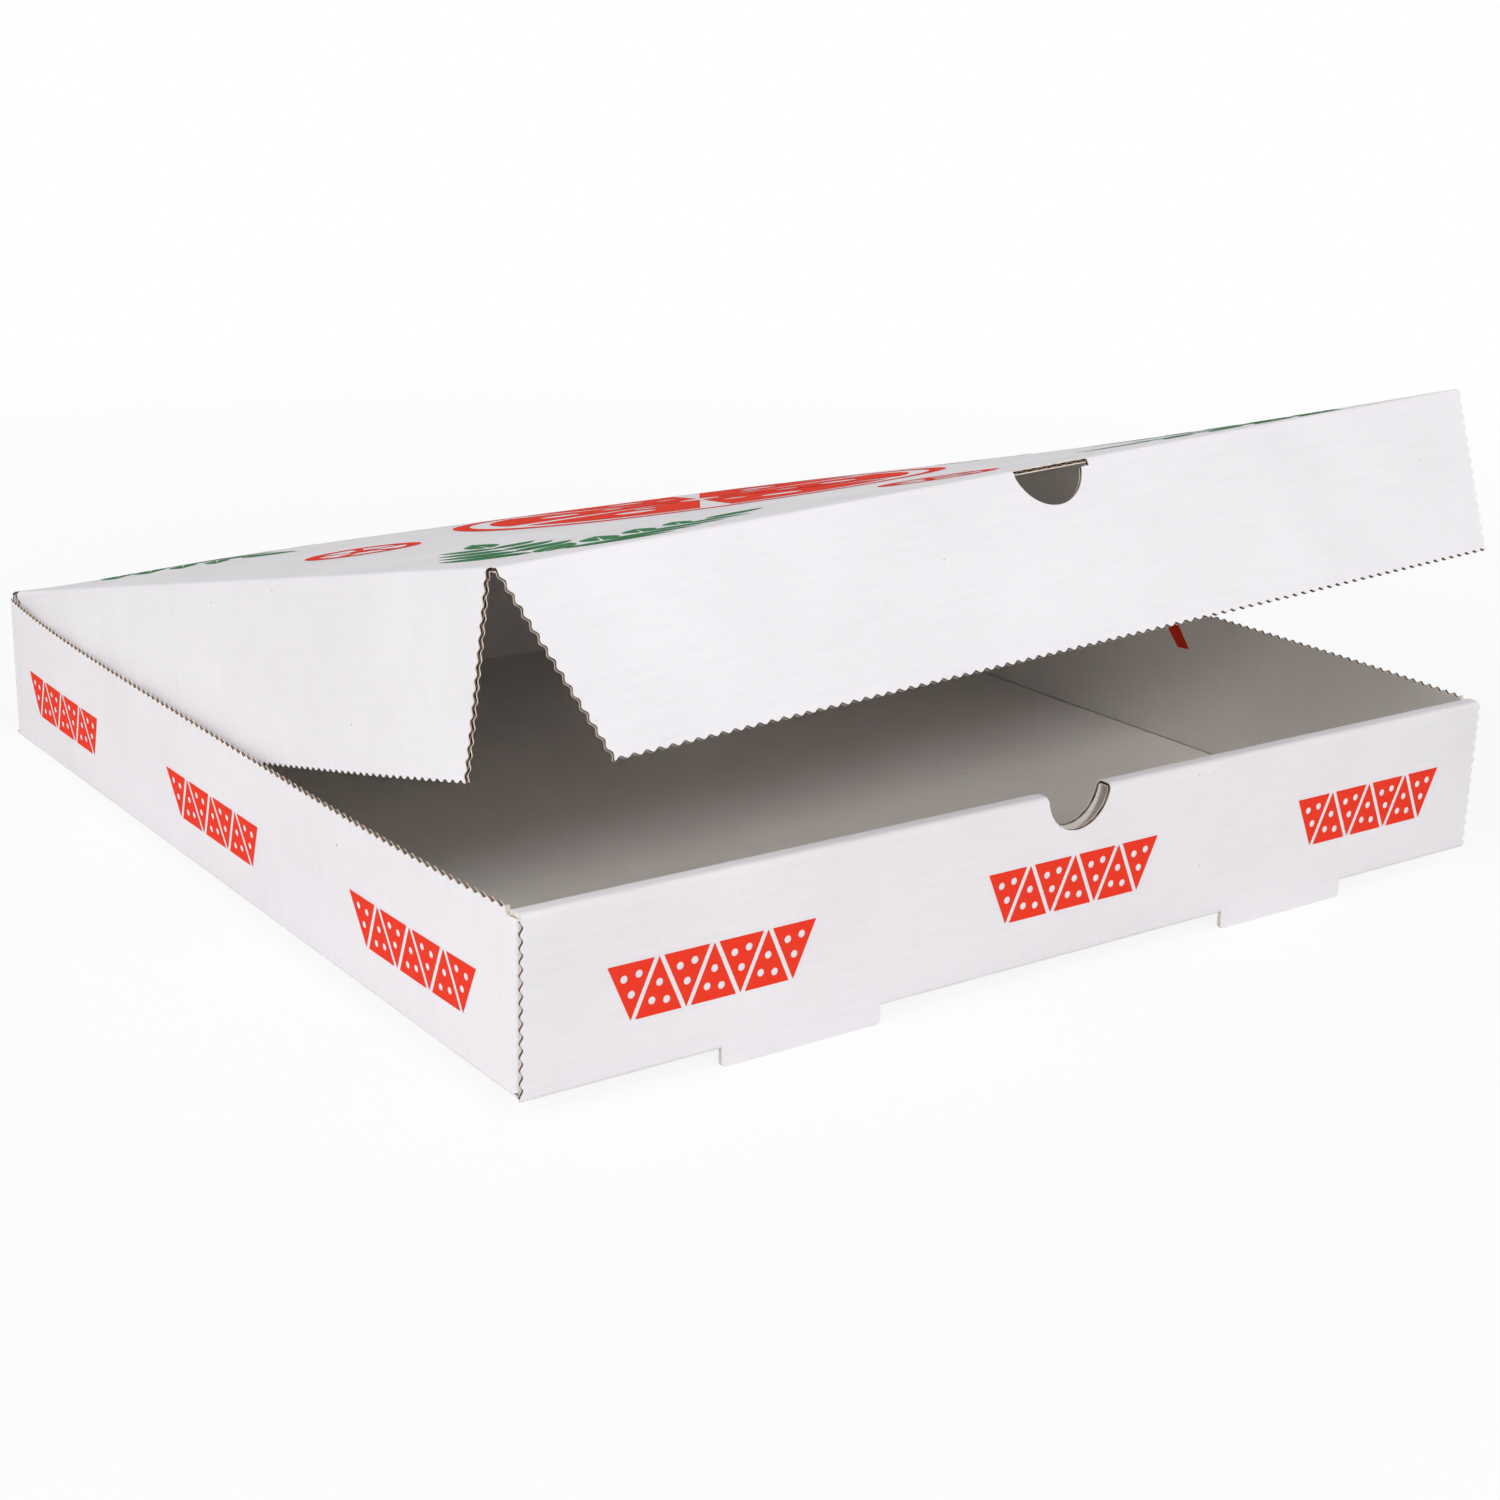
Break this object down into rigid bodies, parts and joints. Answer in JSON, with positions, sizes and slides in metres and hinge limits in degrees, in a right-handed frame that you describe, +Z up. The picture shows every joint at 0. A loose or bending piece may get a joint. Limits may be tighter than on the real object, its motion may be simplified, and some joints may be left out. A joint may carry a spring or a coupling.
{
  "type": "pizza box",
  "caption": "Square corrugated board takeaway box with a low tray, a rolled front wall with a finger notch, and a hinged lid held part open, with tuck flaps at its front and sides.",
  "frame": {"origin": "centre of the tray's underside, between the side walls and between the front and back walls", "axes": "+Z up, -Y towards the rolled front wall, +X to the right seen from the front"},
  "size_m": [0.32, 0.3281, 0.1374],
  "materials": {
    "board": "matte white-faced corrugated board"
  },
  "bodies": {
    "tray": {"tray": "board"},
    "lid": {"lid_panel": "board"},
    "front_flap": {"lid_front_flap": "board"},
    "left_flap": {"lid_left_flap": "board"},
    "right_flap": {"lid_right_flap": "board"}
  },
  "joints": [
    {"name": "lid_hinge", "type": "hinge", "parent": "tray", "child": "lid", "pos_m": [0, 0.1592, 0.0462], "axis": [-1, 0, 0], "range_deg": [-4.5, 160]},
    {"name": "front_flap_hinge", "type": "hinge", "parent": "lid", "child": "front_flap", "pos_m": [0, -0.14302, 0.12492], "axis": [-0.9988, -0.0122, -0.047], "range_deg": [-22, 70]},
    {"name": "left_flap_hinge", "type": "hinge", "parent": "lid", "child": "left_flap", "pos_m": [-0.1563, 0.15888, 0.04484], "axis": [0, -0.9736, 0.2284], "range_deg": [0, 80]},
    {"name": "right_flap_hinge", "type": "hinge", "parent": "lid", "child": "right_flap", "pos_m": [0.1563, 0.15881, 0.04485], "axis": [0, 0.9613, -0.2756], "range_deg": [0, 80]}
  ]
}
